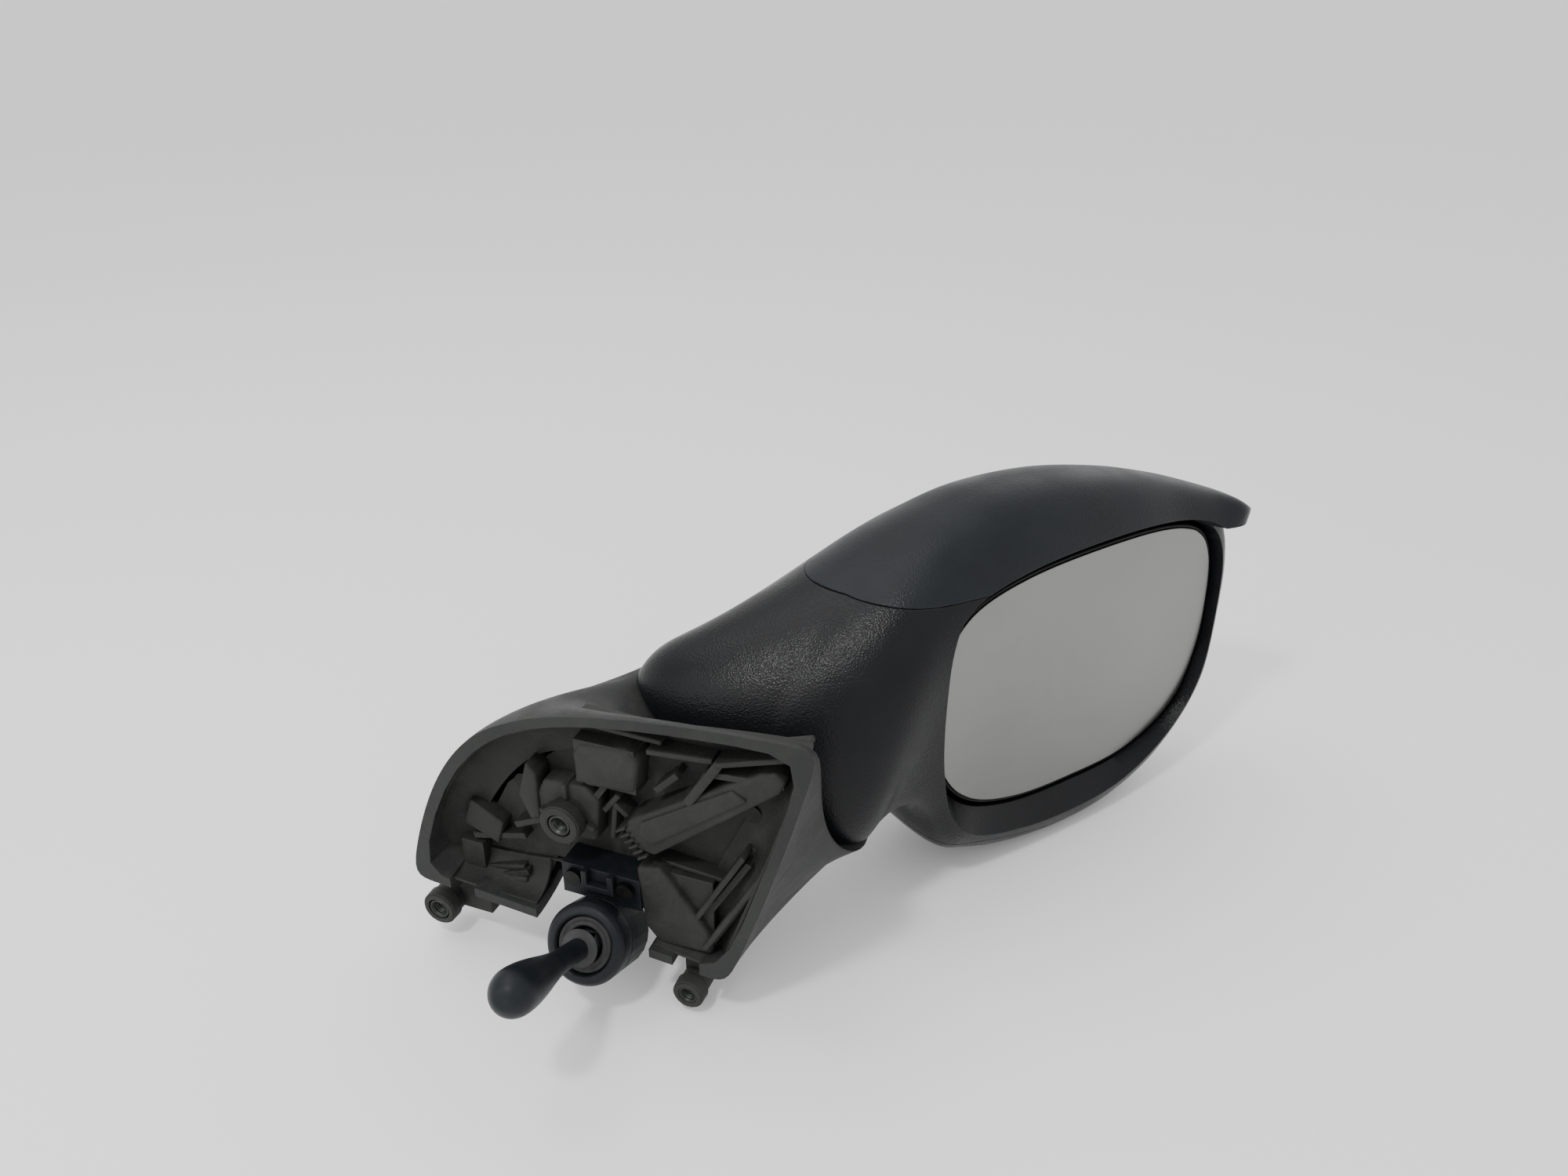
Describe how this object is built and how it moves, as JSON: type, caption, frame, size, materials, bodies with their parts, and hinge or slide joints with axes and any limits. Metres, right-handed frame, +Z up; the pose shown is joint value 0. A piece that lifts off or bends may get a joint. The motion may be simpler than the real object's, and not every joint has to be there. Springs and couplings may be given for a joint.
{
  "type": "car side mirror",
  "caption": "Left-hand car door mirror with a swept head, folding base, cable lever and tilting glass.",
  "frame": {"origin": "on the face that meets the door, at the middle of the base's rear edge", "axes": "+X outboard from the door, +Y to the front of the car, +Z up"},
  "size_m": [0.292, 0.266, 0.1569],
  "materials": {
    "cover_plastic": "fine-grained moulded black",
    "cap_plastic": "grained charcoal",
    "bracket_plastic": "glass-filled black, dusty",
    "holder_plastic": "moulded black",
    "lever_plastic": "satin black",
    "seal_rubber": "matte",
    "pad_foam": "foam tape",
    "mirror_glass": "silvered",
    "insert_brass": "turned",
    "screw_steel": "zinc plated",
    "pivot_steel": "pressed and turned",
    "spring_steel": "oiled",
    "sheath_plastic": "satin"
  },
  "bodies": {
    "base": {"base_cover": "cover_plastic", "base_bracket": "bracket_plastic", "threaded_insert_1": "insert_brass", "threaded_insert_2": "insert_brass", "threaded_insert_3": "insert_brass", "lever_housing": "lever_plastic", "lever_collar": "lever_plastic", "lever_seal": "seal_rubber", "housing_clip": "lever_plastic", "housing_screw_1": "screw_steel", "housing_screw_2": "screw_steel", "cover_screw_1": "screw_steel", "cover_screw_2": "screw_steel", "pivot_post": "pivot_steel", "fold_spring": "spring_steel", "spring_retainer": "pivot_steel", "lower_detent_ring": "pivot_steel", "lower_sheath_1": "sheath_plastic", "lower_sheath_2": "sheath_plastic", "lower_sheath_3": "sheath_plastic"},
    "head": {"head_casing": "cover_plastic", "top_cap": "cap_plastic", "lower_trim": "cover_plastic", "glass_carrier": "bracket_plastic", "carrier_screw_1": "screw_steel", "carrier_screw_2": "screw_steel", "carrier_screw_3": "screw_steel", "upper_detent_ring": "pivot_steel", "upper_sheath_1": "sheath_plastic", "upper_sheath_2": "sheath_plastic", "upper_sheath_3": "sheath_plastic"},
    "glass_gimbal": {"glass_pivot_ball": "lever_plastic"},
    "glass": {"glass_holder": "holder_plastic", "adhesive_pad": "pad_foam", "mirror_glass": "mirror_glass"},
    "lever_gimbal": {"lever_ball": "lever_plastic"},
    "lever": {"adjust_lever": "lever_plastic", "cable_spider": "pivot_steel"}
  },
  "joints": [
    {"name": "head_fold", "type": "hinge", "parent": "base", "child": "head", "pos_m": [0.06, 0.00575, -0.0165], "axis": [0, -0.5, 0.866], "range_deg": [-65, 0]},
    {"name": "glass_pan", "type": "hinge", "parent": "head", "child": "glass_gimbal", "pos_m": [0.16158, -0.05951, 0], "axis": [0, 0, 1], "range_deg": [-7, 7]},
    {"name": "glass_tilt", "type": "hinge", "parent": "glass_gimbal", "child": "glass", "pos_m": [0.16158, -0.05951, 0], "axis": [0.8192, -0.5736, 0], "range_deg": [-7, 7]},
    {"name": "lever_yaw", "type": "hinge", "parent": "base", "child": "lever_gimbal", "pos_m": [-0.00485, 0.06492, -0.04807], "axis": [0.4459, 0.0259, 0.8947], "range_deg": [-12, 12]},
    {"name": "lever_pitch", "type": "hinge", "parent": "lever_gimbal", "child": "lever", "pos_m": [-0.00485, 0.06492, -0.04807], "axis": [-0.058, 0.9983, 0], "range_deg": [-12, 12]}
  ],
  "couplings": [
    {"joint": "lever_yaw", "follows": "glass_pan", "ratio": 1.7},
    {"joint": "lever_pitch", "follows": "glass_tilt", "ratio": -1.7}
  ]
}
